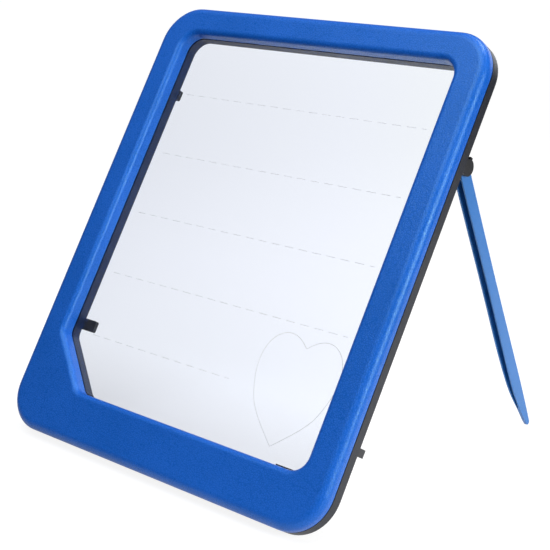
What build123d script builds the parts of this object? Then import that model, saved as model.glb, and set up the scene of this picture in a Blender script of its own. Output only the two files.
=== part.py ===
from build123d import *
from math import acos, atan2, cos, radians, sin, sqrt
import os

# Edge-lit writing board, leaning back on a fold-out leg.
# Millimetres. X runs to the board's right, Y to its back and Z up, from the ground.
# The board's own sketches are drawn on its face: first number from the left edge, second up from
# the lower edge. Depths are counted from the front face towards the back.

os.makedirs("parts", exist_ok=True)

# Overall board
board_width = 240.0
board_height = 280.0
board_depth = 15.0
lean = radians(33.15)
corner_r = 24.0
front_round = 5.0
window_round = 3.2
back_bevel = 1.0
window_back_bevel = 1.0

# Moulded shells
wall = 2.0
face = 2.0
lip = 1.8
split_depth = 7.5
seam_inset = 0.7
seam_depth = 0.7
inner_bevel = 2.5

# Window in the front frame, set by the widths of the bars round it. The lower bar's width follows
# from the battery tray in it.
side_bar = 19.0
top_bar = 17.7
window_left = side_bar
window_right = board_width - side_bar
window_top = board_height - top_bar
window_cut = 31.5
window_corner_r = 10.0
window_cut_r = 7.0
lip_clear = 0.5
level_band = 0.5
level_near = 0.01

# Clear panel held between the two shells
panel_front = 8.2
panel_thick = 2.0
panel_seat = 5.0
panel_low_seat = 4.5
panel_corner_r = 4.0

# Rim and tabs moulded on the rear frame's window edge
card_rim = 2.0
card_tab_thick = 2.5
card_tab_root = 3.0
upper_tab_drop = 33.9
upper_tab_wide = 6.6
upper_tab_out = 1.7
lower_tab_up = 36.6
lower_tab_wide = 7.0
lower_tab_out = 10.4
tab_end_r = 1.2
low_tab_in = 14.0
low_tab_long = 11.0
low_tab_rise = 0.9
low_tab_thick = 3.0

# Lamp strips beside the panel
strip_thick = 1.0
strip_gap = 1.5
strip_width = 7.0
strip_low_in = 6.0
strip_high_in = 16.3
lamp_count = 8
lamp_rise = 1.2
lamp_long = 3.5
lamp_wide = 2.8
rib_thick = 1.2
rib_gap = 0.1
rib_long = 4.0
rib_rise = 3.5
rib_end = 6.0

# Control board, chip and switch in the cut corner
board_clear = 2.4
control_thick = 1.2
control_left = 9.0
control_low = 11.0
control_wide = 24.0
control_high = 21.0
control_corner = 5.0
post_side = 3.6
post_places = ((11.8, 28.5), (29.5, 13.8))
chip_wide = 7.0
chip_high = 6.0
chip_rise = 1.5
chip_edge = 0.25
chip_lead = 0.5
lead_count = 4
lead_pitch = 1.27
lead_reach = 1.0
switch_u = 20.0
switch_v = 22.0
switch_wide = 4.4
switch_long = 9.6
switch_shell = 0.4
switch_gap = 0.1
knob_wide = 2.0
knob_long = 3.6
knob_stand = 0.8
knob_foot = 0.9
knob_foot_wide = 3.0
knob_foot_long = 5.0
knob_travel = 3.0
knob_slot_gap = 0.3
knob_groove = 0.3
knob_groove_step = 0.9

# Battery tray, cells, contacts and door
cell_room = 0.6
cell_r = (board_depth - 2 * face - cell_room) / 2
cell_long = 44.5
cell_gap = 0.1
cell_space = 0.05
tray_wall = 0.8
tray_end = 1.0
tray_left = 56.3
tray_clear = 0.3
tray_panel_gap = 0.6
contact_thick = 0.4
contact_inset = 1.2
contact_side = 2 * (cell_r - contact_inset)
contact_reach = 2.7
contact_nose = 4.0
contact_taper = 12
tray_deep = 8.0
cell_clear = 0.1
ear_long = 10.0
ear_wide = 9.0
ear_deep = 6.0
door_gap = 0.25
door_edge = 1.15
door_corner_r = 1.5
door_thick = 2.0
tongue_thick = 0.5
tongue_rise = 1.0
tongue_wide = 12.0
grip_deep = 0.4
grip_wide = 1.2
grip_step = 3.0
grip_count = 4
grip_long = 14.0
grip_in = 13.5

# Screws
screw_r = 1.2
screw_head_r = 2.3
screw_head = 1.2
screw_sink = 0.3
screw_long = 10.0
screw_fit = 0.1
head_fit = 0.3
boss_r = 2.8
side_screw_in = 6.3
side_screw_drop = 32.0
low_screw_up = 13.0
low_screw_left = 44.0
low_screw_right = 36.0
door_screw_long = 6.5

# Wires
cable_wide = 1.4
cable_thick = 0.6
cable_depth = 11.2
cable_drop = 3.3
lead_depth = 9.9
lead_v = 19.0

# Leg, hinge and catch
pivot_v = 211.0
pivot_back = 5.8
leg_inset = 4.2
leg_width = 5.05
leg_foot_s = 189.6
leg_foot_t = 2.45
leg_foot_r = 1.6
foot_angle = radians(55)
leg_wall = 0.8
leg_web_t = 1.6
channel_start = 4.5
channel_end = 174.0
channel_end_width = 2.45
taper_start = 115.0
inner_thin = 0.75
lower_thin = 1.85
foot_thin = 2.95
tip_thin = 4.1
heel_stop = 0.05
heel_long = 3.2
leg_fit = 0.05
ear_gap = 0.2
hinge_ear = 1.9
hinge_ear_r = 4.7
hinge_neck = 6.6
hinge_skin = 0.5
nub_rise = 1.0
nub_wide = 2.0
nub_back = -0.5
pin_r = 1.3
pin_head_r = 2.3
pin_head = 0.9
pin_head_sink = 0.2
pin_head_gap = 0.3
pin_end_gap = 0.05
bracket_thick = 1.2
bracket_high = 16.0
bracket_wide = 9.0
pocket_gap = 0.1
catch_v = 50.8
catch_high = 4.5
catch_base_high = 7.6
catch_gap = 0.3
catch_prong = 1.7
catch_mouth = 4.5
catch_rise = 7.5
catch_grip = 0.15
catch_grip_rise = 1.2
catch_base_over = 0.4

# Where the board stands: its bevelled lower back edge touches the ground, and the middle of the
# whole object's length is at Y zero.
board_z = (board_depth - back_bevel) * sin(lean)
pivot_depth = board_depth + pivot_back
pivot_z = board_z + pivot_v * cos(lean) - pivot_depth * sin(lean)
foot_long = sqrt(leg_foot_s**2 + leg_foot_t**2)
foot_turn = atan2(leg_foot_t, leg_foot_s)
leg_tilt = acos((pivot_z - leg_foot_r) / foot_long) - foot_turn
leg_open = leg_tilt + lean
front_reach = front_round * (sin(lean) + cos(lean)) - front_round
foot_run = foot_long * sin(leg_tilt + foot_turn) + leg_foot_r
foot_reach = pivot_v * sin(lean) + pivot_depth * cos(lean) + foot_run
board_y = -(front_reach + foot_reach) / 2
pivot_y = board_y + pivot_v * sin(lean) + pivot_depth * cos(lean)
half = board_width / 2

board = Plane(origin=(-half, board_y, board_z), x_dir=(1, 0, 0), z_dir=(0, -cos(lean), sin(lean)))
rear_floor = board_depth - face
rim_depth = board_depth + card_rim
panel_back = panel_front + panel_thick


# Places that several pieces share.
screw_places = (
    (side_screw_in, board_height - side_screw_drop),
    (board_width - side_screw_in, board_height - side_screw_drop),
    (low_screw_left, low_screw_up),
    (board_width - low_screw_right, low_screw_up),
)
tray_low = wall + tray_clear
tray_inner_high = 4 * cell_r + 2 * cell_gap
tray_high = tray_inner_high + 2 * tray_wall
window_low = tray_low + tray_high + tray_panel_gap + panel_low_seat
upper_tab_high = window_top - upper_tab_drop
lower_tab_low = window_low + lower_tab_up
low_tab_right = window_right - low_tab_in
strip_low = window_low + strip_low_in
strip_high = window_top - strip_high_in
rib_places = (strip_low + rib_end, (strip_low + strip_high) / 2, strip_high - rib_end)
door_low = wall + door_edge
tray_inner_long = 2 * (cell_long + contact_thick + contact_reach) + cell_space
tray_long = tray_inner_long + 2 * tray_end
tray_right = tray_left + tray_long
door_left = tray_left + door_gap
door_right = tray_right + ear_long
door_high = tray_low + tray_high - door_gap
door_screw_v = (door_low + door_high) / 2
door_screw_u = tray_right + ear_long / 2
strip_back_u = window_left - panel_seat - strip_gap - strip_thick
ear_inset = leg_inset - ear_gap - hinge_ear
catch_out_inset = leg_inset - catch_gap - catch_prong
catch_inner_inset = catch_out_inset + catch_prong + catch_mouth
catch_base_wide = catch_inner_inset + catch_prong - catch_out_inset + 2 * catch_base_over
catch_base_mid = catch_out_inset - catch_base_over + catch_base_wide / 2
bracket_mid = ear_inset + bracket_wide / 2


def window_points(grow):
    """The window's five corners, moved outwards by grow."""
    slope = grow * (sqrt(2) - 1)
    return [
        (window_left - grow, window_top + grow),
        (window_right + grow, window_top + grow),
        (window_right + grow, window_low - grow),
        (window_left + window_cut - slope, window_low - grow),
        (window_left - grow, window_low + window_cut - slope),
    ]


def cut_corner(point):
    """True for the two corners beside the window's slanted side."""
    return point.X + point.Y < window_left + window_low + 2 * window_cut


def near_window(place, grow):
    """True for a place on the board that is within grow of the window."""
    across = window_left - grow < place.X < window_right + grow
    along = window_low - grow < place.Y < window_top + grow
    slant = place.X + place.Y > window_left + window_low + window_cut - grow * sqrt(2)
    return across and along and slant


def on_level(edges, depth, grow):
    """Edges that lie at a depth and within grow of the window."""
    found = []
    for edge in edges:
        places = [board.to_local_coords(point.center()) for point in edge.vertices()]
        places.append(board.to_local_coords(edge.center()))
        flat = all(abs(place.Z + depth) < level_near for place in places)
        if flat and all(near_window(place, grow) for place in places):
            found.append(edge)
    return ShapeList(found)


def outer_level(edges, depth):
    """Edges of the board's outer rim at a depth."""
    near = on_level(edges, depth, wall)
    far = on_level(edges, depth, board_width)
    return ShapeList([edge for edge in far if edge not in near])


# Front frame: a ring moulding, open at its back, rounded on the outside and at the window.
with BuildPart() as front_frame:
    with BuildSketch(board.offset(-split_depth)):
        with Locations((half, board_height / 2)):
            RectangleRounded(board_width, board_height, corner_r)
    extrude(amount=split_depth)
    fillet(outer_level(front_frame.edges(), 0.0), front_round)
    with BuildSketch(board.offset(-panel_front)) as lip_end:
        with BuildLine():
            Polyline(*window_points(lip), close=True)
        make_face()
        fillet(lip_end.vertices().filter_by(lambda p: not cut_corner(p)), window_corner_r + lip)
        fillet(lip_end.vertices().filter_by(cut_corner), window_cut_r + lip)
    extrude(amount=panel_front - split_depth)
    with BuildSketch(board.offset(-panel_front)) as front_window:
        with BuildLine():
            Polyline(*window_points(0.0), close=True)
        make_face()
        fillet(front_window.vertices().filter_by(lambda p: not cut_corner(p)), window_corner_r)
        fillet(front_window.vertices().filter_by(cut_corner), window_cut_r)
    extrude(amount=panel_front, mode=Mode.SUBTRACT)
    fillet(on_level(front_frame.edges(), 0.0, level_band), window_round)
    with BuildSketch(board.offset(-split_depth)) as front_channel:
        with Locations((half, board_height / 2)):
            RectangleRounded(board_width - 2 * wall, board_height - 2 * wall, corner_r - wall)
        with BuildSketch(mode=Mode.SUBTRACT) as front_lip:
            with BuildLine():
                Polyline(*window_points(lip), close=True)
            make_face()
            fillet(front_lip.vertices().filter_by(lambda p: not cut_corner(p)), window_corner_r + lip)
            fillet(front_lip.vertices().filter_by(cut_corner), window_cut_r + lip)
    extrude(amount=split_depth - face, mode=Mode.SUBTRACT)
    chamfer(outer_level(front_frame.edges(), face), inner_bevel)
    with BuildSketch(board.offset(-rear_floor)):
        with Locations(*screw_places):
            Circle(boss_r)
    extrude(amount=rear_floor - face)
    with BuildSketch(board.offset(-rear_floor)):
        with Locations(*screw_places):
            Circle(screw_r + screw_fit)
    extrude(amount=rear_floor - face, mode=Mode.SUBTRACT)
front_frame.part.label = "front_frame"
export_step(front_frame.part, "parts/front_frame.step")

# Rear frame: the black ring behind, with its floor, ribs and posts, and a rim with tabs round the
# window that a card can lie against.
with BuildPart() as rear_frame:
    with BuildSketch(board.offset(-board_depth)):
        with Locations((half, board_height / 2)):
            RectangleRounded(board_width, board_height, corner_r)
    extrude(amount=board_depth - split_depth - seam_depth)
    chamfer(outer_level(rear_frame.edges(), board_depth), back_bevel)
    with BuildSketch(board.offset(-split_depth - seam_depth)):
        with Locations((half, board_height / 2)):
            RectangleRounded(
                board_width - 2 * seam_inset,
                board_height - 2 * seam_inset,
                corner_r - seam_inset,
            )
    extrude(amount=seam_depth)
    with BuildSketch(board.offset(-rim_depth)) as card_edge:
        with BuildLine():
            Polyline(*window_points(lip), close=True)
        make_face()
        fillet(card_edge.vertices().filter_by(lambda p: not cut_corner(p)), window_corner_r + lip)
        fillet(card_edge.vertices().filter_by(cut_corner), window_cut_r + lip)
    extrude(amount=card_rim)
    with BuildSketch(board.offset(-rim_depth)) as rear_window:
        with BuildLine():
            Polyline(*window_points(0.0), close=True)
        make_face()
        fillet(rear_window.vertices().filter_by(lambda p: not cut_corner(p)), window_corner_r)
        fillet(rear_window.vertices().filter_by(cut_corner), window_cut_r)
    extrude(amount=rim_depth - split_depth, mode=Mode.SUBTRACT)
    chamfer(on_level(rear_frame.edges(), rim_depth, level_band), window_back_bevel)
    with BuildSketch(board.offset(-rear_floor)) as rear_channel:
        with Locations((half, board_height / 2)):
            RectangleRounded(board_width - 2 * wall, board_height - 2 * wall, corner_r - wall)
        with BuildSketch(mode=Mode.SUBTRACT) as rear_lip:
            with BuildLine():
                Polyline(*window_points(lip), close=True)
            make_face()
            fillet(rear_lip.vertices().filter_by(lambda p: not cut_corner(p)), window_corner_r + lip)
            fillet(rear_lip.vertices().filter_by(cut_corner), window_cut_r + lip)
    extrude(amount=rear_floor - split_depth, mode=Mode.SUBTRACT)
    with BuildSketch(board.offset(-panel_back)) as lip_top:
        with BuildLine():
            Polyline(*window_points(lip + lip_clear), close=True)
        make_face()
        fillet(lip_top.vertices(), window_cut_r)
    extrude(amount=panel_back - split_depth, mode=Mode.SUBTRACT)
    with BuildSketch(board.offset(-rear_floor)):
        with Locations(*post_places):
            Rectangle(post_side, post_side)
    extrude(amount=board_clear)
    with BuildSketch(board.offset(-rear_floor)):
        for rib_v in rib_places:
            for rib_u in (
                strip_back_u - rib_gap - rib_thick / 2,
                board_width - strip_back_u + rib_gap + rib_thick / 2,
            ):
                with Locations((rib_u, rib_v)):
                    Rectangle(rib_thick, rib_long)
    extrude(amount=rib_rise)
    with BuildSketch(board.offset(-board_depth)):
        with Locations(*screw_places):
            Circle(screw_r + screw_fit)
    extrude(amount=face, mode=Mode.SUBTRACT)
    with BuildSketch(board.offset(-board_depth)):
        with Locations(*screw_places):
            Circle(screw_head_r + head_fit)
    extrude(amount=screw_head + screw_sink, mode=Mode.SUBTRACT)
    with BuildSketch(board.offset(-board_depth)) as door_opening:
        with Locations(((door_left + door_right) / 2, (door_low + door_high) / 2)):
            RectangleRounded(
                door_right - door_left + 2 * door_gap,
                door_high - door_low + 2 * door_gap,
                door_corner_r + door_gap,
            )
        with Locations((switch_u, switch_v + knob_travel / 2)):
            Rectangle(knob_wide + 2 * knob_slot_gap, knob_long + knob_travel + 2 * knob_slot_gap)
    extrude(amount=face, mode=Mode.SUBTRACT)
    with BuildSketch(board.offset(-board_depth)):
        with Locations((board_width - bracket_mid, pivot_v)):
            Rectangle(bracket_wide + 2 * pocket_gap, bracket_high + 2 * pocket_gap)
        with Locations((board_width - catch_base_mid, catch_v)):
            Rectangle(catch_base_wide + 2 * pocket_gap, catch_base_high + 2 * pocket_gap)
    extrude(amount=bracket_thick, mode=Mode.SUBTRACT)
    with BuildSketch(board.offset(-board_depth - card_tab_thick)) as card_tabs:
        for low, high, reach in (
            (upper_tab_high - upper_tab_wide, upper_tab_high, window_left + upper_tab_out),
            (lower_tab_low, lower_tab_low + lower_tab_wide, window_left + lower_tab_out),
        ):
            root = window_left - card_tab_root
            with Locations(((root + reach) / 2, (low + high) / 2)):
                RectangleRounded(reach - root, high - low, tab_end_r)
    extrude(amount=card_tab_thick)
    with BuildSketch(board.offset(-board_depth)):
        with Locations((low_tab_right, window_low)):
            Rectangle(low_tab_long, 2 * low_tab_rise, align=(Align.MAX, Align.CENTER))
    extrude(amount=low_tab_thick)
rear_frame.part.label = "rear_frame"
export_step(rear_frame.part, "parts/rear_frame.step")

# Clear panel: one flat sheet with the window's shape, seated in the groove between the shells.
with BuildPart() as clear_panel:
    with BuildSketch(board.offset(-panel_back)) as panel_face:
        with BuildLine():
            Polyline(*window_points(panel_seat), close=True)
        make_face()
        with Locations((half, window_low - panel_seat)):
            Rectangle(
                board_width,
                2 * (panel_seat - panel_low_seat),
                mode=Mode.SUBTRACT,
            )
        fillet(panel_face.vertices(), panel_corner_r)
    extrude(amount=panel_thick)
clear_panel.part.label = "clear_panel"
export_step(clear_panel.part, "parts/clear_panel.step")

# Lamp strips: one narrow circuit board standing on edge in each side bar.
with BuildPart() as led_strip_left:
    with BuildSketch(board.offset(-rear_floor)):
        with Locations((strip_back_u, strip_low)):
            Rectangle(strip_thick, strip_high - strip_low, align=(Align.MIN, Align.MIN))
    extrude(amount=strip_width)
led_strip_left.part.label = "led_strip_left"
export_step(led_strip_left.part, "parts/led_strip_left.step")

with BuildPart() as led_strip_right:
    with BuildSketch(board.offset(-rear_floor)):
        with Locations((board_width - strip_back_u, strip_low)):
            Rectangle(strip_thick, strip_high - strip_low, align=(Align.MAX, Align.MIN))
    extrude(amount=strip_width)
led_strip_right.part.label = "led_strip_right"
export_step(led_strip_right.part, "parts/led_strip_right.step")

# Lamps: small square packages on each strip, facing the edge of the panel.
lamp_step = (strip_high - strip_low) / lamp_count
lamp_depth = panel_front + panel_thick / 2 + lamp_wide / 2
with BuildPart() as leds_left:
    with BuildSketch(board.offset(-lamp_depth)):
        for lamp in range(lamp_count):
            with Locations((strip_back_u + strip_thick, strip_low + (lamp + 0.5) * lamp_step)):
                Rectangle(lamp_rise, lamp_long, align=(Align.MIN, Align.CENTER))
    extrude(amount=lamp_wide)
leds_left.part.label = "leds_left"
export_step(leds_left.part, "parts/leds_left.step")

with BuildPart() as leds_right:
    with BuildSketch(board.offset(-lamp_depth)):
        for lamp in range(lamp_count):
            lamp_v = strip_low + (lamp + 0.5) * lamp_step
            with Locations((board_width - strip_back_u - strip_thick, lamp_v)):
                Rectangle(lamp_rise, lamp_long, align=(Align.MAX, Align.CENTER))
    extrude(amount=lamp_wide)
leds_right.part.label = "leds_right"
export_step(leds_right.part, "parts/leds_right.step")

# Control board: a small circuit board with its corner cut, on two posts in the window's cut corner.
control_depth = rear_floor - board_clear
with BuildPart() as controller_board:
    with BuildSketch(board.offset(-control_depth)) as control_face:
        with Locations((control_left, control_low)):
            Rectangle(control_wide, control_high, align=(Align.MIN, Align.MIN))
        chamfer(control_face.vertices().sort_by(lambda p: p.X + p.Y)[-1], control_corner)
    extrude(amount=control_thick)
controller_board.part.label = "controller_board"
export_step(controller_board.part, "parts/controller_board.step")

# Driver chip: a moulded block with bent leads on two sides.
chip_depth = control_depth - control_thick
with BuildPart() as driver_chip:
    with BuildSketch(board.offset(-chip_depth)):
        with Locations((switch_u, switch_v)):
            Rectangle(chip_wide, chip_high)
    extrude(amount=chip_rise)
    chamfer(driver_chip.faces().sort_by(Axis((0, 0, 0), board.z_dir))[-1].edges(), chip_edge)
    with BuildSketch(board.offset(-chip_depth)):
        for lead in range(lead_count):
            with Locations((switch_u + (lead - (lead_count - 1) / 2) * lead_pitch, switch_v)):
                Rectangle(chip_lead, chip_high + 2 * lead_reach)
    extrude(amount=chip_lead)
driver_chip.part.label = "driver_chip"
export_step(driver_chip.part, "parts/driver_chip.step")

# Slide switch: a folded metal case under the control board, open towards the back.
switch_mid_v = switch_v + knob_travel / 2
with BuildPart() as switch_body:
    with BuildSketch(board.offset(-rear_floor)):
        with Locations((switch_u, switch_mid_v)):
            Rectangle(switch_wide, switch_long)
    extrude(amount=board_clear)
    with BuildSketch(board.offset(-rear_floor + switch_shell)):
        with Locations((switch_u, switch_mid_v)):
            Rectangle(switch_wide - 2 * switch_shell, switch_long - 2 * switch_shell)
    extrude(amount=board_clear - 2 * switch_shell, mode=Mode.SUBTRACT)
    with BuildSketch(board.offset(-rear_floor)):
        with Locations((switch_u, switch_mid_v)):
            Rectangle(knob_wide + 2 * switch_gap, knob_long + knob_travel + 2 * switch_gap)
    extrude(amount=switch_shell, mode=Mode.SUBTRACT)
switch_body.part.label = "switch_body"
export_step(switch_body.part, "parts/switch_body.step")

# Switch knob: a foot that slides in the case and a ribbed stem through the rear frame.
with BuildPart() as switch_knob:
    with BuildSketch(board.offset(-rear_floor + switch_shell + switch_gap)):
        with Locations((switch_u, switch_v)):
            Rectangle(knob_foot_wide, knob_foot_long)
    extrude(amount=knob_foot)
    with BuildSketch(board.offset(-board_depth - knob_stand)):
        with Locations((switch_u, switch_v)):
            Rectangle(knob_wide, knob_long)
    extrude(amount=face + knob_stand + switch_shell + switch_gap + knob_foot)
    with BuildSketch(board.offset(-board_depth - knob_stand)):
        for groove in (-1, 0, 1):
            with Locations((switch_u, switch_v + groove * knob_groove_step)):
                Rectangle(knob_wide, knob_groove)
    extrude(amount=knob_groove, mode=Mode.SUBTRACT)
switch_knob.part.label = "switch_knob"
export_step(switch_knob.part, "parts/switch_knob.step")

# Battery tray: thin walls round the cells, ridges between the rows and an ear for the door's screw.
with BuildPart() as battery_tray:
    with BuildSketch(board.offset(-rear_floor)):
        with Locations((tray_left, tray_low)):
            Rectangle(tray_long, tray_high, align=(Align.MIN, Align.MIN))
        with Locations((tray_left + tray_end, tray_low + tray_wall)):
            Rectangle(
                tray_inner_long,
                tray_inner_high,
                align=(Align.MIN, Align.MIN),
                mode=Mode.SUBTRACT,
            )
    extrude(amount=tray_deep)
    with BuildSketch(board.offset(-rear_floor)):
        with Locations((tray_right, door_screw_v)):
            Rectangle(ear_long, ear_wide, align=(Align.MIN, Align.CENTER))
    extrude(amount=ear_deep)
    with BuildSketch(board.offset(-rear_floor)):
        with Locations((door_screw_u, door_screw_v)):
            Circle(screw_r + screw_fit)
    extrude(amount=ear_deep, mode=Mode.SUBTRACT)
battery_tray.part.label = "battery_tray"
export_step(battery_tray.part, "parts/battery_tray.step")

# Cells: two rows of two.
cell_depth = face + cell_clear + cell_r + cell_gap
cells_left = tray_left + tray_end + contact_thick + contact_reach
with BuildPart() as battery_cells:
    for row in (0, 1):
        row_v = tray_low + tray_wall + cell_gap / 2 + cell_r + row * (2 * cell_r + cell_gap)
        for place in (0, 1):
            cell_start = Vector(cells_left + place * (cell_long + cell_space), row_v, -cell_depth)
            with BuildSketch(Plane(origin=board.from_local_coords(cell_start), z_dir=(1, 0, 0))):
                Circle(cell_r)
            extrude(amount=cell_long)
battery_cells.part.label = "battery_cells"
export_step(battery_cells.part, "parts/battery_cells.step")

# Contacts: a plated square at each row's ends with a pressed nose that bears on the cell.
with BuildPart() as battery_contacts:
    for row in (0, 1):
        row_v = tray_low + tray_wall + cell_gap / 2 + cell_r + row * (2 * cell_r + cell_gap)
        for end_u, way in ((tray_left + tray_end, 1), (tray_right - tray_end, -1)):
            contact_plane = Plane(
                origin=board.from_local_coords(Vector(end_u, row_v, -cell_depth)),
                x_dir=board.y_dir,
                z_dir=(way, 0, 0),
            )
            with BuildSketch(contact_plane):
                Rectangle(contact_side, contact_side)
            extrude(amount=contact_thick)
            with BuildSketch(contact_plane.offset(contact_thick)):
                Rectangle(contact_nose, contact_nose)
            extrude(amount=contact_reach, taper=contact_taper)
battery_contacts.part.label = "battery_contacts"
export_step(battery_contacts.part, "parts/battery_contacts.step")

# Battery door: a flush plate with grip lines, a locating tongue and a sunk screw hole.
with BuildPart() as battery_door:
    with BuildSketch(board.offset(-board_depth)):
        with Locations(((door_left + door_right) / 2, (door_low + door_high) / 2)):
            RectangleRounded(door_right - door_left, door_high - door_low, door_corner_r)
    extrude(amount=door_thick)
    with BuildSketch(board.offset(-rear_floor)):
        with Locations((tray_left + tray_end + cell_gap, door_screw_v)):
            Rectangle(tongue_thick, tongue_wide, align=(Align.MIN, Align.CENTER))
    extrude(amount=tongue_rise)
    with BuildSketch(board.offset(-board_depth)):
        for line in range(grip_count):
            with Locations((door_left + grip_in + line * grip_step, door_screw_v)):
                Rectangle(grip_wide, grip_long)
    extrude(amount=grip_deep, mode=Mode.SUBTRACT)
    with BuildSketch(board.offset(-board_depth)):
        with Locations((door_screw_u, door_screw_v)):
            Circle(screw_r + screw_fit)
    extrude(amount=door_thick, mode=Mode.SUBTRACT)
    with BuildSketch(board.offset(-board_depth)):
        with Locations((door_screw_u, door_screw_v)):
            Circle(screw_head_r + head_fit)
    extrude(amount=screw_head, mode=Mode.SUBTRACT)
battery_door.part.label = "battery_door"
export_step(battery_door.part, "parts/battery_door.step")

# Door screw: a short screw with a flat round head.
with BuildPart() as door_screw:
    with BuildSketch(board.offset(-board_depth)):
        with Locations((door_screw_u, door_screw_v)):
            Circle(screw_head_r)
    extrude(amount=screw_head)
    with BuildSketch(board.offset(-board_depth + screw_head)):
        with Locations((door_screw_u, door_screw_v)):
            Circle(screw_r)
    extrude(amount=door_screw_long - screw_head)
door_screw.part.label = "door_screw"
export_step(door_screw.part, "parts/door_screw.step")

# Housing screws: four of one kind, sunk in the rear frame and driven into the front frame.
with BuildPart() as housing_screws:
    with BuildSketch(board.offset(-board_depth + screw_sink)):
        with Locations(*screw_places):
            Circle(screw_head_r)
    extrude(amount=screw_head)
    with BuildSketch(board.offset(-board_depth + screw_sink + screw_head)):
        with Locations(*screw_places):
            Circle(screw_r)
    extrude(amount=screw_long)
housing_screws.part.label = "housing_screws"
export_step(housing_screws.part, "parts/housing_screws.step")

# Wires: a flat cable along the lower bar to the right strip, and leads to the left strip and tray.
cable_v = window_low - cable_drop
cable_left_u = control_left + control_wide - control_corner
cable_right_u = board_width - strip_back_u - strip_thick / 2
lead_u = strip_back_u + strip_thick / 2
control_top = control_low + control_high
control_right = control_left + control_wide
cable_start_v = control_top - control_corner
with BuildPart() as wire_harness:
    with BuildSketch(board.offset(-cable_depth)):
        with Locations((cable_left_u, (cable_start_v + cable_v) / 2)):
            Rectangle(cable_wide, abs(cable_start_v - cable_v), align=(Align.MIN, Align.CENTER))
        with Locations((cable_left_u, cable_v)):
            Rectangle(cable_right_u - cable_left_u, cable_wide, align=(Align.MIN, Align.CENTER))
        with Locations((cable_right_u, cable_v - cable_wide / 2)):
            Rectangle(cable_wide, strip_low - cable_v + cable_wide / 2, align=(Align.MAX, Align.MIN))
    extrude(amount=cable_thick)
    with BuildSketch(board.offset(-lead_depth)):
        with Locations((lead_u, control_top)):
            Rectangle(cable_wide, strip_low - control_top, align=(Align.CENTER, Align.MIN))
        with Locations((control_right, lead_v)):
            Rectangle(tray_left - control_right, cable_wide, align=(Align.MIN, Align.CENTER))
    extrude(amount=cable_thick)
wire_harness.part.label = "wire_harness"
export_step(wire_harness.part, "parts/wire_harness.step")

# Leg outline in the leg's own plane: first number down the leg from the pivot, second away from
# the board's back when the leg is folded. The inner side is seen from behind: the second number is
# the leg's width from its outer side there.
heel_way = (-sin(leg_open), -cos(leg_open))
heel_run = (-cos(leg_open), sin(leg_open))
heel_far = pivot_back - heel_stop
heel_start = (heel_way[0] * heel_far, heel_way[1] * heel_far)
heel_end = (heel_start[0] + heel_run[0] * heel_long, heel_start[1] + heel_run[1] * heel_long)
leg_top = (-3.4, 3.4)
leg_back = [(4.0, 3.2), (30.0, 3.1), (75.0, 3.3), (113.0, 3.75), (153.0, 4.4)]
leg_front = [(176.0, -1.75), (165.0, -3.2), (152.0, -4.1), (125.0, -4.35), (80.0, -4.4), (28.0, -5.0)]
leg_front.append((4.0, -5.2))
foot_back = (leg_foot_s, leg_foot_t + leg_foot_r)
foot_tip = (leg_foot_s + leg_foot_r, leg_foot_t)
foot_front = (leg_foot_s + leg_foot_r * cos(foot_angle), leg_foot_t - leg_foot_r * sin(foot_angle))
leg_inner = [
    (146.0, leg_width - inner_thin),
    (166.0, leg_width - lower_thin),
    (178.0, leg_width - foot_thin),
]
taper_end = (leg_foot_s + 2 * leg_foot_r, leg_width - tip_thin)

right_side = Plane(
    origin=(half - leg_inset, pivot_y, pivot_z),
    x_dir=(0, sin(leg_tilt), -cos(leg_tilt)),
    z_dir=(1, 0, 0),
)
right_flat = Plane(origin=right_side.origin, x_dir=right_side.x_dir, z_dir=right_side.y_dir)

# Right leg: swung out to the ground. Its heel bears on the rear frame as an end stop.
with BuildPart() as right_leg:
    with BuildSketch(right_side):
        with BuildLine():
            Line(heel_start, heel_end)
            Line(heel_end, leg_top)
            Line(leg_top, leg_back[0])
            Spline(*leg_back, foot_back)
            ThreePointArc(foot_back, foot_tip, foot_front)
            Spline(foot_front, *leg_front)
            Line(leg_front[-1], heel_start)
        make_face()
    extrude(amount=-leg_width)
    with BuildSketch(right_flat.offset(-2 * leg_width)):
        with BuildLine():
            Spline((taper_start, leg_width), *leg_inner, taper_end, tangents=((1, 0), (2, -1)))
            Polyline(
                taper_end,
                (taper_end[0], 2 * leg_width),
                (taper_start, 2 * leg_width),
                (taper_start, leg_width),
            )
        make_face()
    extrude(amount=4 * leg_width, mode=Mode.SUBTRACT)
    with BuildSketch(right_flat.offset(-2 * leg_width)):
        with BuildLine():
            Polyline(
                (taper_start, leg_width - leg_wall),
                (channel_start, leg_width - leg_wall),
                (channel_start, leg_wall),
                (channel_end, leg_wall),
                (channel_end, channel_end_width - leg_wall),
            )
            Spline(
                (channel_end, channel_end_width - leg_wall),
                (leg_inner[1][0], leg_inner[1][1] - leg_wall),
                (leg_inner[0][0], leg_inner[0][1] - leg_wall),
                (taper_start, leg_width - leg_wall),
            )
        make_face()
    extrude(amount=2 * leg_width + leg_web_t, mode=Mode.SUBTRACT)
    with BuildSketch(right_side):
        Circle(pin_r + leg_fit)
    extrude(amount=-leg_width, mode=Mode.SUBTRACT)
    with BuildSketch(right_side.offset(-leg_width)):
        Circle(pin_head_r + pin_head_gap)
    extrude(amount=pin_head + pin_head_gap, mode=Mode.SUBTRACT)
right_leg.part.label = "right_leg"
export_step(right_leg.part, "parts/right_leg.step")

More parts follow.
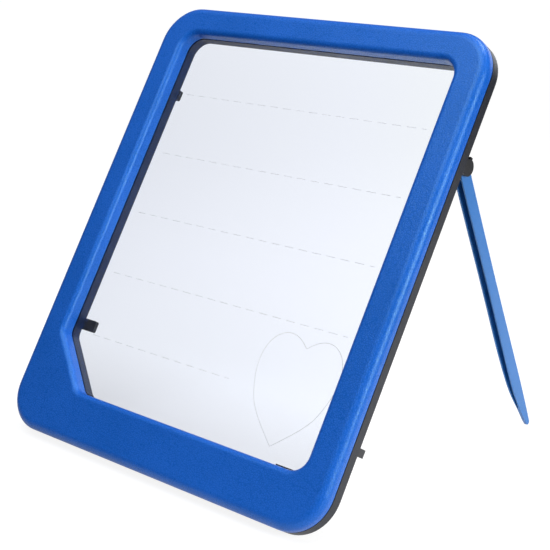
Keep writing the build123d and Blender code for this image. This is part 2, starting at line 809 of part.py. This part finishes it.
# Hinge bracket: a round ear with a small nub on top, on a base let into the rear frame. The pin's
# bore is blind, so the ear's outer side is whole.
right_ear = Plane(
    origin=(half - ear_inset, pivot_y, pivot_z),
    x_dir=(0, cos(lean), -sin(lean)),
    z_dir=(1, 0, 0),
)
with BuildPart() as hinge_bracket_right:
    with BuildSketch(right_ear):
        Circle(hinge_ear_r)
        with Locations((-pivot_back / 2, 0.0)):
            Rectangle(pivot_back, hinge_neck)
        with Locations((nub_back, 0.0)):
            Rectangle(nub_wide, hinge_ear_r + nub_rise, align=(Align.CENTER, Align.MIN))
    extrude(amount=-hinge_ear)
    with BuildSketch(board.offset(-board_depth)):
        with Locations((board_width - bracket_mid, pivot_v)):
            Rectangle(bracket_wide, bracket_high)
    extrude(amount=bracket_thick)
    with BuildSketch(right_ear.offset(-hinge_skin)):
        Circle(pin_r + leg_fit)
    extrude(amount=hinge_skin - hinge_ear, mode=Mode.SUBTRACT)
hinge_bracket_right.part.label = "hinge_bracket_right"
export_step(hinge_bracket_right.part, "parts/hinge_bracket_right.step")

# Hinge pin: a headed pin through the leg into the bracket's ear.
pin_start = hinge_skin + pin_end_gap
pin_long = leg_inset + leg_width - ear_inset - pin_head_sink - pin_start
with BuildPart() as hinge_pin_right:
    with BuildSketch(right_ear.offset(-pin_start)):
        Circle(pin_r)
    extrude(amount=-pin_long)
    with BuildSketch(right_ear.offset(-pin_start - pin_long)):
        Circle(pin_head_r)
    extrude(amount=pin_head)
hinge_pin_right.part.label = "hinge_pin_right"
export_step(hinge_pin_right.part, "parts/hinge_pin_right.step")

# Leg catch: a flush base with two prongs that the folded leg lies between.
with BuildPart() as leg_catch_right:
    with BuildSketch(board.offset(-board_depth)):
        with Locations((board_width - catch_base_mid, catch_v)):
            Rectangle(catch_base_wide, catch_base_high)
    extrude(amount=bracket_thick)
    with BuildSketch(board.offset(-board_depth)):
        with Locations((board_width - catch_out_inset, catch_v)):
            Rectangle(catch_prong, catch_high, align=(Align.MAX, Align.CENTER))
        with Locations((board_width - catch_inner_inset, catch_v)):
            Rectangle(catch_prong, catch_high, align=(Align.MAX, Align.CENTER))
    extrude(amount=-catch_rise)
    with BuildSketch(board.offset(-board_depth - catch_rise)):
        with Locations((board_width - catch_out_inset - catch_prong, catch_v)):
            Rectangle(catch_grip, catch_high, align=(Align.MAX, Align.CENTER))
        with Locations((board_width - catch_inner_inset, catch_v)):
            Rectangle(catch_grip, catch_high, align=(Align.MIN, Align.CENTER))
    extrude(amount=catch_grip_rise)
leg_catch_right.part.label = "leg_catch_right"
export_step(leg_catch_right.part, "parts/leg_catch_right.step")
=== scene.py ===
from math import cos, radians, sin

import bmesh
import bpy
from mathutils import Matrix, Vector


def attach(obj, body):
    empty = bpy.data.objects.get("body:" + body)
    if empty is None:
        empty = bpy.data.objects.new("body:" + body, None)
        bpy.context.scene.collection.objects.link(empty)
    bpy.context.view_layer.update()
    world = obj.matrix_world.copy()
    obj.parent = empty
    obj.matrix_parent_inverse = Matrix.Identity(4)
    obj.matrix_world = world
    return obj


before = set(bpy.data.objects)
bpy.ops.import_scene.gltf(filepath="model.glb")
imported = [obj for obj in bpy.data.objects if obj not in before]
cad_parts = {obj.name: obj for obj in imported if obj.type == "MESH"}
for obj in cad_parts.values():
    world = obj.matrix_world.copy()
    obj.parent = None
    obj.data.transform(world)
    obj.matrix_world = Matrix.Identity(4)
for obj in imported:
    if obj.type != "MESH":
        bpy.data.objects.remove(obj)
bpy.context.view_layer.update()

# Camera. It stands to the right of the board, a little above its top, and looks down at it.
# The long lens and the place come from the board's own edges in the photograph.
lens_data = bpy.data.cameras.new("studio_camera")
lens_data.sensor_width = 36.0
lens_data.lens = 87.055
lens_data.clip_end = 20.0
studio_camera = bpy.data.objects.new("studio_camera", lens_data)
studio_camera.location = (0.49278, -0.56090, 0.32125)
studio_camera.rotation_euler = (radians(73.22), 0.0, radians(41.11))
bpy.context.collection.objects.link(studio_camera)
bpy.context.scene.camera = studio_camera
bpy.context.scene.view_settings.view_transform = "Standard"

# Studio light. A soft room that is paler overhead and at the far back, and plain white where the
# camera looks at it or through the clear panel. Three lamps stand to the right for the rim and the
# leg, high in front for the face and high behind for the back.


def worked(tree, operation, first, second, third=None, clamped=False):
    """The output of a math node that takes sockets and plain numbers."""
    node = tree.nodes.new("ShaderNodeMath")
    node.operation = operation
    node.use_clamp = clamped
    for place, value in enumerate((first, second, third)):
        if isinstance(value, bpy.types.NodeSocket):
            tree.links.new(value, node.inputs[place])
        elif value is not None:
            node.inputs[place].default_value = value
    return node.outputs[0]


def ranged(tree, value, start, end, low, high):
    """The output of a node that maps start to low and end to high."""
    node = tree.nodes.new("ShaderNodeMapRange")
    node.inputs["From Min"].default_value = start
    node.inputs["From Max"].default_value = end
    node.inputs["To Min"].default_value = low
    node.inputs["To Max"].default_value = high
    tree.links.new(value, node.inputs["Value"])
    return node.outputs[0]


def seen_directly(tree, path):
    """One for the camera's rays that met nothing but the clear panel on their way, else zero."""
    bounced = worked(tree, "ADD", path.outputs["Diffuse Depth"], path.outputs["Glossy Depth"])
    through = worked(tree, "SUBTRACT", path.outputs["Is Transmission Ray"], bounced, clamped=True)
    return worked(tree, "MAXIMUM", path.outputs["Is Camera Ray"], through)


room_tone = (0.93, 0.96, 1.0, 1.0)
room_level = 0.35
studio = bpy.data.worlds.new("studio")
studio.use_nodes = True
bpy.context.scene.world = studio
sky = studio.node_tree
sky.nodes.clear()
sky_path = sky.nodes.new("ShaderNodeLightPath")
sky_way = sky.nodes.new("ShaderNodeTexCoord")
sky_axis = sky.nodes.new("ShaderNodeSeparateXYZ")
sky.links.new(sky_way.outputs["Generated"], sky_axis.inputs[0])
overhead = ranged(sky, sky_axis.outputs["Z"], 0.50, 1.0, 0.12, 0.7)
far_back = ranged(sky, sky_axis.outputs["Y"], 0.90, 0.96, 0.0, 1.7)
sky_level = sky.nodes.new("ShaderNodeMix")
sky_level.inputs["A"].default_value = room_level
sky.links.new(sky_path.outputs["Is Glossy Ray"], sky_level.inputs["Factor"])
sky.links.new(worked(sky, "ADD", overhead, far_back), sky_level.inputs["B"])
sky_room = sky.nodes.new("ShaderNodeBackground")
sky_room.inputs["Color"].default_value = room_tone
sky.links.new(sky_level.outputs["Result"], sky_room.inputs["Strength"])
sky_white = sky.nodes.new("ShaderNodeBackground")
sky_white.inputs["Color"].default_value = (1.0, 1.0, 1.0, 1.0)
sky_white.inputs["Strength"].default_value = 1.0
sky_mix = sky.nodes.new("ShaderNodeMixShader")
sky_out = sky.nodes.new("ShaderNodeOutputWorld")
sky.links.new(seen_directly(sky, sky_path), sky_mix.inputs[0])
sky.links.new(sky_room.outputs[0], sky_mix.inputs[1])
sky.links.new(sky_white.outputs[0], sky_mix.inputs[2])
sky.links.new(sky_mix.outputs[0], sky_out.inputs["Surface"])

for lamp_name, place, aim, size, power in (
    ("lamp_right", (1.10, -0.10, 0.42), (0.0, 0.0, 0.10), 0.42, 8.5),
    ("lamp_high", (0.0, -0.30, 0.82), (0.0, 0.0, 0.10), 0.6, 3.5),
    ("lamp_back", (0.20, 0.50, 1.10), (0.0, 0.0, 0.15), 0.4, 4.5),
):
    lamp_data = bpy.data.lights.new(lamp_name, "AREA")
    lamp_data.shape = "SQUARE"
    lamp_data.size = size
    lamp_data.energy = power
    studio_lamp = bpy.data.objects.new(lamp_name, lamp_data)
    studio_lamp.location = place
    studio_lamp.rotation_euler = (Vector(aim) - Vector(place)).to_track_quat("-Z", "Y").to_euler()
    bpy.context.collection.objects.link(studio_lamp)

# Floor. One broad white sheet under the board, which keeps a soft shadow of it. It glows a little
# where the camera sees it, so that the far part is as white as the wall. Other rays find it pale
# behind the board and painted dark further off, a painted shade in what the board mirrors and in the
# light it gets back. Mirrored rays also see a glow on the pale part, a painted reflection on the
# mouldings.
floor_half = 6.0
pale_middle = (0.10, 0.30, 0.0)
floor_mesh = bpy.data.meshes.new("studio_floor")
floor_mesh.from_pydata(
    [
        (-floor_half, -floor_half, 0.0),
        (floor_half, -floor_half, 0.0),
        (floor_half, floor_half, 0.0),
        (-floor_half, floor_half, 0.0),
    ],
    [],
    [(0, 1, 2, 3)],
)
studio_floor = bpy.data.objects.new("studio_floor", floor_mesh)
bpy.context.collection.objects.link(studio_floor)
floor_white = bpy.data.materials.new("floor_white")
floor_white.use_nodes = True
ground = floor_white.node_tree
ground.nodes.clear()
floor_path = ground.nodes.new("ShaderNodeLightPath")
floor_seen = seen_directly(ground, floor_path)
floor_spot = ground.nodes.new("ShaderNodeNewGeometry")
floor_away = ground.nodes.new("ShaderNodeVectorMath")
floor_away.operation = "DISTANCE"
floor_away.inputs[1].default_value = pale_middle
ground.links.new(floor_spot.outputs["Position"], floor_away.inputs[0])
floor_fade = ranged(ground, floor_away.outputs["Value"], 0.35, 0.60, 1.0, 0.0)
# Painted shade: for all but the camera's rays the floor is dark away from the board and pale near it.
pale_sheet_painted_dark_far = ground.nodes.new("ShaderNodeMixRGB")
pale_sheet_painted_dark_far.inputs["Color1"].default_value = (0.08, 0.08, 0.08, 1.0)
pale_sheet_painted_dark_far.inputs["Color2"].default_value = (0.80, 0.80, 0.81, 1.0)
ground.links.new(floor_fade, pale_sheet_painted_dark_far.inputs[0])
floor_tone = ground.nodes.new("ShaderNodeMixRGB")
floor_tone.inputs["Color2"].default_value = (0.22, 0.22, 0.22, 1.0)
ground.links.new(floor_seen, floor_tone.inputs[0])
ground.links.new(pale_sheet_painted_dark_far.outputs[0], floor_tone.inputs["Color1"])
floor_paper = ground.nodes.new("ShaderNodeBsdfDiffuse")
ground.links.new(floor_tone.outputs[0], floor_paper.inputs["Color"])
far_glow = ranged(ground, floor_away.outputs["Value"], 0.7, 1.8, 0.875, 0.945)
seen_glow = worked(ground, "MULTIPLY", floor_seen, far_glow)
# Painted reflection: near the board the floor glows for mirrored rays only, though it is no lamp.
mirrored = worked(ground, "SUBTRACT", floor_path.outputs["Is Glossy Ray"], floor_seen, clamped=True)
painted_reflection_glow = worked(ground, "MULTIPLY", mirrored, floor_fade)
floor_glow = ground.nodes.new("ShaderNodeEmission")
floor_glow.inputs["Color"].default_value = (1.0, 1.0, 1.0, 1.0)
ground.links.new(
    worked(ground, "MULTIPLY_ADD", painted_reflection_glow, 0.65, seen_glow), floor_glow.inputs["Strength"]
)
floor_sum = ground.nodes.new("ShaderNodeAddShader")
floor_out = ground.nodes.new("ShaderNodeOutputMaterial")
ground.links.new(floor_paper.outputs[0], floor_sum.inputs[0])
ground.links.new(floor_glow.outputs[0], floor_sum.inputs[1])
ground.links.new(floor_sum.outputs[0], floor_out.inputs["Surface"])
floor_mesh.materials.append(floor_white)

# Front frame. An injection-moulded ring in blue, with a fine leather grain on its face and a
# rounded rim. It carries the panel's groove and takes the screws from behind.


def grain_group():
    """Height of a fine leather grain: small pebbles with creases between, and a finer tooth."""
    group = bpy.data.node_groups.new("leather_grain", "ShaderNodeTree")
    group.interface.new_socket("Pebbles", in_out="INPUT", socket_type="NodeSocketFloat")
    group.interface.new_socket("Tooth", in_out="INPUT", socket_type="NodeSocketFloat")
    group.interface.new_socket("Height", in_out="OUTPUT", socket_type="NodeSocketFloat")
    group.interface.new_socket("Patch", in_out="OUTPUT", socket_type="NodeSocketFloat")
    nodes, links = group.nodes, group.links
    entry = nodes.new("NodeGroupInput")
    leave = nodes.new("NodeGroupOutput")
    place = nodes.new("ShaderNodeTexCoord")
    bend = nodes.new("ShaderNodeTexNoise")
    bend.inputs["Scale"].default_value = 260.0
    bend.inputs["Detail"].default_value = 1.0
    shift = nodes.new("ShaderNodeMixRGB")
    shift.blend_type = "ADD"
    shift.inputs["Fac"].default_value = 0.0022
    cells = nodes.new("ShaderNodeTexVoronoi")
    cells.feature = "DISTANCE_TO_EDGE"
    crease = nodes.new("ShaderNodeMapRange")
    crease.inputs["From Max"].default_value = 0.22
    crease.interpolation_type = "SMOOTHSTEP"
    fine = nodes.new("ShaderNodeTexNoise")
    fine.inputs["Detail"].default_value = 3.0
    patch = nodes.new("ShaderNodeTexNoise")
    patch.inputs["Scale"].default_value = 22.0
    patch.inputs["Detail"].default_value = 2.0
    links.new(place.outputs["Object"], bend.inputs["Vector"])
    links.new(place.outputs["Object"], shift.inputs["Color1"])
    links.new(bend.outputs["Color"], shift.inputs["Color2"])
    links.new(shift.outputs[0], cells.inputs["Vector"])
    links.new(entry.outputs["Pebbles"], cells.inputs["Scale"])
    links.new(cells.outputs["Distance"], crease.inputs["Value"])
    links.new(place.outputs["Object"], fine.inputs["Vector"])
    links.new(entry.outputs["Tooth"], fine.inputs["Scale"])
    links.new(place.outputs["Object"], patch.inputs["Vector"])
    height = worked(group, "MULTIPLY_ADD", fine.outputs["Fac"], 0.22, crease.outputs[0])
    links.new(height, leave.inputs["Height"])
    links.new(patch.outputs["Fac"], leave.inputs["Patch"])
    return group


leather_grain = grain_group()


def moulded(
    name, colour, lit_tops_and_patches, rough, gloss_level, pebbles, tooth, depth, strength, shine=(1.0, 1.0, 1.0)
):
    """A moulded plastic with grain, a slight change of gloss, and a tone that changes at random in
    patches and is painted darker in the grain's creases as painted shade.
    """
    material = bpy.data.materials.new(name)
    material.use_nodes = True
    nodes, links = material.node_tree.nodes, material.node_tree.links
    plastic = nodes["Principled BSDF"]
    plastic.inputs["IOR"].default_value = 1.5
    plastic.inputs["Specular IOR Level"].default_value = gloss_level
    plastic.inputs["Specular Tint"].default_value = (*shine, 1.0)
    grain = nodes.new("ShaderNodeGroup")
    grain.node_tree = leather_grain
    grain.inputs["Pebbles"].default_value = pebbles
    grain.inputs["Tooth"].default_value = tooth
    bump = nodes.new("ShaderNodeBump")
    bump.inputs["Strength"].default_value = strength
    bump.inputs["Distance"].default_value = depth
    links.new(grain.outputs["Height"], bump.inputs["Height"])
    links.new(bump.outputs["Normal"], plastic.inputs["Normal"])
    # Painted shade: the first colour fills the grain's creases and the paler second colour the pebble
    # tops, over random patches of tone.
    tone = nodes.new("ShaderNodeValToRGB")
    tone.color_ramp.elements[0].position = 0.55
    tone.color_ramp.elements[0].color = (*colour, 1.0)
    tone.color_ramp.elements[1].position = 1.0
    tone.color_ramp.elements[1].color = (*lit_tops_and_patches, 1.0)
    height, patch = grain.outputs["Height"], grain.outputs["Patch"]
    shade = worked(material.node_tree, "MULTIPLY_ADD", height, 0.45, patch)
    links.new(shade, tone.inputs["Fac"])
    links.new(tone.outputs["Color"], plastic.inputs["Base Color"])
    gloss = ranged(material.node_tree, height, 0.0, 1.0, rough - 0.05, rough + 0.06)
    links.new(gloss, plastic.inputs["Roughness"])
    return material


def dress(node_name, material):
    """Puts a material on a solid of the frame, through its object's own slots."""
    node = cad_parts[node_name]
    if not node.material_slots:
        node.data.materials.append(None)
    for place in node.material_slots:
        place.link = "OBJECT"
        place.material = material


blue_moulding = moulded(
    "blue_moulding",
    colour=(0.002, 0.095, 0.483),
    lit_tops_and_patches=(0.009, 0.120, 0.592),
    rough=0.31,
    gloss_level=0.5,
    pebbles=800.0,
    tooth=4800.0,
    depth=0.00009,
    strength=0.5,
    shine=(0.5, 0.95, 0.95),
)
dress("front_frame", blue_moulding)

# Rear frame. The same ring moulded in black, with the floor that closes the bars, the back half of
# the groove and the small tabs at the window.
black_moulding = moulded(
    "black_moulding",
    colour=(0.012, 0.0135, 0.020),
    lit_tops_and_patches=(0.019, 0.0205, 0.028),
    rough=0.36,
    gloss_level=0.26,
    pebbles=1500.0,
    tooth=6000.0,
    depth=0.00005,
    strength=0.4,
)
dress("rear_frame", black_moulding)

# Clear panel. Cast acrylic with polished edges, held in the groove between the shells. Its tint is
# painted shade, darker towards the foot and at the left, and painted light, a little brighter at the
# right.
clear_sheet = bpy.data.materials.new("clear_sheet")
clear_sheet.use_nodes = True
sheet = clear_sheet.node_tree
acrylic = sheet.nodes["Principled BSDF"]
acrylic.inputs["IOR"].default_value = 1.49
acrylic.inputs["Roughness"].default_value = 0.0
acrylic.inputs["Metallic"].default_value = 0.0
acrylic.inputs["Transmission Weight"].default_value = 1.0
sheet_place = sheet.nodes.new("ShaderNodeTexCoord")
sheet_axis = sheet.nodes.new("ShaderNodeSeparateXYZ")
sheet.links.new(sheet_place.outputs["Object"], sheet_axis.inputs[0])
# Painted shade: the panel's tint is darker towards its foot and paler towards its top.
panel_painted_shade = sheet.nodes.new("ShaderNodeValToRGB")
ramp = panel_painted_shade.color_ramp
ramp.elements[0].position = 0.05
ramp.elements[0].color = (0.72, 0.74, 0.79, 1.0)
ramp.elements[1].position = 1.0
ramp.elements[1].color = (0.88, 0.91, 0.98, 1.0)
for height, tint in ((0.17, (0.82, 0.85, 0.92, 1.0)), (0.42, (0.85, 0.88, 0.96, 1.0))):
    ramp.elements.new(height).color = tint
sheet.links.new(ranged(sheet, sheet_axis.outputs["Z"], 0.02, 0.23, 0.0, 1.0), panel_painted_shade.inputs["Fac"])
# Painted shade and painted light: the tint is multiplied darker at the left and brighter at the right.
panel_painted_side_shade = sheet.nodes.new("ShaderNodeMixRGB")
panel_painted_side_shade.blend_type = "MULTIPLY"
panel_painted_side_shade.inputs["Fac"].default_value = 1.0
sheet.links.new(panel_painted_shade.outputs["Color"], panel_painted_side_shade.inputs["Color1"])
sheet.links.new(
    ranged(sheet, sheet_axis.outputs["X"], -0.10, 0.10, 0.95, 1.06), panel_painted_side_shade.inputs["Color2"]
)
sheet.links.new(panel_painted_side_shade.outputs[0], acrylic.inputs["Base Color"])
sheet_path = sheet.nodes.new("ShaderNodeLightPath")
sheet_pass = sheet.nodes.new("ShaderNodeBsdfTransparent")
sheet_pass.inputs["Color"].default_value = (0.93, 0.95, 0.98, 1.0)
sheet_mix = sheet.nodes.new("ShaderNodeMixShader")
sheet.links.new(sheet_path.outputs["Is Shadow Ray"], sheet_mix.inputs[0])
sheet.links.new(acrylic.outputs[0], sheet_mix.inputs[1])
sheet.links.new(sheet_pass.outputs[0], sheet_mix.inputs[2])
sheet.links.new(sheet_mix.outputs[0], sheet.nodes["Material Output"].inputs["Surface"])
dress("clear_panel", clear_sheet)

# Cut lines. Shallow V cuts in the panel's face, dull where the cutter ran: four dashed rules and a
# short fifth, and a plain heart at the lower right. Places are counted on the board's face, from
# its left edge and up from its lower edge, as in the part's own sketches.
lean = radians(33.15)
face_foot = Vector((-0.12, -0.1087691, 0.0076557))
board_right = Vector((1.0, 0.0, 0.0))
board_up = Vector((0.0, sin(lean), cos(lean)))
board_out = Vector((0.0, -cos(lean), sin(lean)))
panel_face_depth = 0.0082
cut_width = 0.00030
cut_proud = 0.00003


def on_board(across, up, depth):
    """The point at a place on the board's face and a depth behind it, in metres."""
    return face_foot + board_right * across + board_up * up - board_out * depth


def cut_ribbon(mesh, points, closed, width):
    """A narrow flat strip along points on the panel's face, with a slightly raised middle."""
    count = len(points)
    rows = []
    for index, (across, up) in enumerate(points):
        before = points[index - 1] if index or closed else points[index]
        after = points[(index + 1) % count] if index + 1 < count or closed else points[index]
        run = Vector((after[0] - before[0], after[1] - before[1])).normalized()
        side = Vector((-run.y, run.x)) * width / 2
        row = []
        for part, lift in ((-1.0, 0.2), (0.0, 1.0), (1.0, 0.2)):
            spot = on_board(
                across + side.x * part, up + side.y * part, panel_face_depth - cut_proud * lift
            )
            row.append(mesh.verts.new(spot))
        rows.append(row)
    for index in range(count if closed else count - 1):
        here, there = rows[index], rows[(index + 1) % count]
        for part in (0, 1):
            mesh.faces.new((here[part], here[part + 1], there[part + 1], there[part]))


rules_cut = bmesh.new()
dash_long = 0.0062
dash_gap = 0.0036
rule_left = 0.0330
rule_right = 0.2125
for rule_up, rule_from, rule_to in (
    (0.2241, rule_left, rule_right),
    (0.1842, rule_left, rule_right),
    (0.1444, rule_left, rule_right),
    (0.1046, rule_left, rule_right),
    (0.0650, 0.0366, 0.1478),
):
    start = rule_from
    while start < rule_to:
        end = min(start + dash_long, rule_to)
        middle_of_dash = (start + end) / 2
        cut_ribbon(
            rules_cut, [(start, rule_up), (middle_of_dash, rule_up), (end, rule_up)], False, cut_width
        )
        start += dash_long + dash_gap
rules_mesh = bpy.data.meshes.new("ruled_lines")
rules_cut.to_mesh(rules_mesh)
rules_cut.free()
ruled_lines = bpy.data.objects.new("ruled_lines", rules_mesh)
bpy.context.collection.objects.link(ruled_lines)

heart_centre = 0.1902
heart_half = [
    (0.0, 0.0380),
    (0.0065, 0.0435),
    (0.0140, 0.0503),
    (0.0204, 0.0578),
    (0.0243, 0.0660),
    (0.0268, 0.0745),
    (0.0273, 0.0820),
    (0.0260, 0.0885),
    (0.0225, 0.0945),
    (0.0165, 0.0983),
    (0.0100, 0.0985),
    (0.0045, 0.0962),
    (0.0, 0.0928),
]


def smooth_run(points, steps):
    """Points on a smooth line through the given ones."""
    run = []
    for index in range(len(points) - 1):
        before = points[max(index - 1, 0)]
        here, there = points[index], points[index + 1]
        after = points[min(index + 2, len(points) - 1)]
        for step in range(steps):
            t = step / steps
            spot = []
            for a, b, c, d in zip(before, here, there, after):
                bend = 2 * a - 5 * b + 4 * c - d
                twist = 3 * b - a - 3 * c + d
                spot.append(0.5 * (2 * b + (c - a) * t + bend * t * t + twist * t * t * t))
            run.append(tuple(spot))
    run.append(points[-1])
    return run


right_lobe = smooth_run(heart_half, 5)
heart_points = [(heart_centre + across, up) for across, up in right_lobe]
heart_points += [(heart_centre - across, up) for across, up in reversed(right_lobe[1:-1])]
heart_cut = bmesh.new()
cut_ribbon(heart_cut, heart_points, True, cut_width)
heart_mesh = bpy.data.meshes.new("heart_line")
heart_cut.to_mesh(heart_mesh)
heart_cut.free()
heart_line = bpy.data.objects.new("heart_line", heart_mesh)
bpy.context.collection.objects.link(heart_line)

frosted_cut = bpy.data.materials.new("frosted_cut")
frosted_cut.use_nodes = True
dull = frosted_cut.node_tree
frost = dull.nodes["Principled BSDF"]
frost.inputs["Roughness"].default_value = 0.7
frost_noise = dull.nodes.new("ShaderNodeTexNoise")
frost_noise.inputs["Scale"].default_value = 900.0
frost_tone = dull.nodes.new("ShaderNodeValToRGB")
frost_tone.color_ramp.elements[0].color = (0.56, 0.58, 0.62, 1.0)
frost_tone.color_ramp.elements[1].color = (0.74, 0.76, 0.80, 1.0)
dull.links.new(frost_noise.outputs["Fac"], frost_tone.inputs["Fac"])
dull.links.new(frost_tone.outputs["Color"], frost.inputs["Base Color"])
for cut in (ruled_lines, heart_line):
    cut.data.materials.append(frosted_cut)
    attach(cut, "housing")

# Leg. A blue moulding, less shiny than the frame, with an open channel towards the board. It
# thins to a narrow tip that stands on the ground.
leg_blue = moulded(
    "leg_blue",
    colour=(0.018, 0.146, 0.45),
    lit_tops_and_patches=(0.024, 0.160, 0.49),
    rough=0.38,
    gloss_level=0.5,
    pebbles=1600.0,
    tooth=6000.0,
    depth=0.00004,
    strength=0.35,
    shine=(0.8, 1.0, 0.9),
)
dress("right_leg", leg_blue)

# Hinge bracket and leg catch. Small black mouldings, each with a flat base that is pressed into a
# pocket in the rear frame's back. The folded leg lies between the catch's prongs.
small_black = moulded(
    "small_black",
    colour=(0.006, 0.006, 0.008),
    lit_tops_and_patches=(0.011, 0.011, 0.014),
    rough=0.34,
    gloss_level=0.4,
    pebbles=2200.0,
    tooth=8000.0,
    depth=0.00003,
    strength=0.3,
)
for small_part in ("hinge_bracket_right", "leg_catch_right"):
    dress(small_part, small_black)

# Hinge pin and screws. Turned and cold-headed steel. The pin is bare, and the screws that close
# the shells and the door are blackened against rust.


def turned_metal(name, colour, bright, rough, lines):
    """Bare or blacked metal with fine turning lines and small bright rubs."""
    material = bpy.data.materials.new(name)
    material.use_nodes = True
    nodes, links = material.node_tree.nodes, material.node_tree.links
    metal = nodes["Principled BSDF"]
    metal.inputs["Metallic"].default_value = 1.0
    place = nodes.new("ShaderNodeTexCoord")
    rubs = nodes.new("ShaderNodeTexNoise")
    rubs.inputs["Scale"].default_value = lines
    rubs.inputs["Detail"].default_value = 4.0
    tone = nodes.new("ShaderNodeValToRGB")
    tone.color_ramp.elements[0].position = 0.4
    tone.color_ramp.elements[0].color = (*colour, 1.0)
    tone.color_ramp.elements[1].position = 0.75
    tone.color_ramp.elements[1].color = (*bright, 1.0)
    gloss = ranged(material.node_tree, rubs.outputs["Fac"], 0.0, 1.0, rough - 0.08, rough + 0.1)
    links.new(place.outputs["Object"], rubs.inputs["Vector"])
    links.new(rubs.outputs["Fac"], tone.inputs["Fac"])
    links.new(tone.outputs["Color"], metal.inputs["Base Color"])
    links.new(gloss, metal.inputs["Roughness"])
    return material


pin_steel = turned_metal(
    "pin_steel",
    colour=(0.42, 0.42, 0.43),
    bright=(0.60, 0.60, 0.60),
    rough=0.35,
    lines=2500.0,
)
screw_steel = turned_metal(
    "screw_steel",
    colour=(0.06, 0.06, 0.065),
    bright=(0.22, 0.22, 0.22),
    rough=0.4,
    lines=2500.0,
)
dress("hinge_pin_right", pin_steel)
dress("housing_screws", screw_steel)
dress("door_screw", screw_steel)

# Lamp strips and control board. Thin laminate under a white solder mask, with the lamps on the
# strips and the driver chip on the board.
white_mask = moulded(
    "white_mask",
    colour=(0.70, 0.71, 0.68),
    lit_tops_and_patches=(0.78, 0.79, 0.77),
    rough=0.35,
    gloss_level=0.5,
    pebbles=2600.0,
    tooth=9000.0,
    depth=0.00001,
    strength=0.1,
)
lamp_gel = moulded(
    "lamp_gel",
    colour=(0.82, 0.70, 0.26),
    lit_tops_and_patches=(0.88, 0.78, 0.36),
    rough=0.3,
    gloss_level=0.5,
    pebbles=3000.0,
    tooth=9000.0,
    depth=0.00001,
    strength=0.1,
)
chip_black = moulded(
    "chip_black",
    colour=(0.012, 0.012, 0.013),
    lit_tops_and_patches=(0.020, 0.020, 0.021),
    rough=0.5,
    gloss_level=0.4,
    pebbles=3200.0,
    tooth=9000.0,
    depth=0.00001,
    strength=0.3,
)
for laminate in ("led_strip_left", "led_strip_right", "controller_board"):
    dress(laminate, white_mask)
dress("leds_left", lamp_gel)
dress("leds_right", lamp_gel)
dress("driver_chip", chip_black)

# Power switch. A folded and plated steel case, soldered under the control board, with a grey
# moulded knob that shows at the back.
plated_steel = turned_metal(
    "plated_steel",
    colour=(0.55, 0.55, 0.53),
    bright=(0.72, 0.72, 0.70),
    rough=0.3,
    lines=1400.0,
)
knob_grey = moulded(
    "knob_grey",
    colour=(0.30, 0.31, 0.33),
    lit_tops_and_patches=(0.38, 0.39, 0.41),
    rough=0.42,
    gloss_level=0.5,
    pebbles=2600.0,
    tooth=9000.0,
    depth=0.00002,
    strength=0.3,
)
dress("switch_body", plated_steel)
dress("switch_knob", knob_grey)

# Battery bay. A black moulded tray with plated spring contacts, cells in plain sleeves and a
# moulded door, which its screw holds shut.
sleeve_grey = turned_metal(
    "sleeve_grey",
    colour=(0.20, 0.21, 0.22),
    bright=(0.27, 0.28, 0.29),
    rough=0.38,
    lines=300.0,
)
dress("battery_tray", chip_black)
dress("battery_contacts", plated_steel)
dress("battery_cells", sleeve_grey)
dress("battery_door", black_moulding)

# Wires. Red covered flat cable along the lower bar to the right strip, and two short leads,
# soldered at both ends.
wire_red = moulded(
    "wire_red",
    colour=(0.36, 0.02, 0.02),
    lit_tops_and_patches=(0.46, 0.03, 0.03),
    rough=0.45,
    gloss_level=0.5,
    pebbles=3000.0,
    tooth=9000.0,
    depth=0.00001,
    strength=0.2,
)
dress("wire_harness", wire_red)
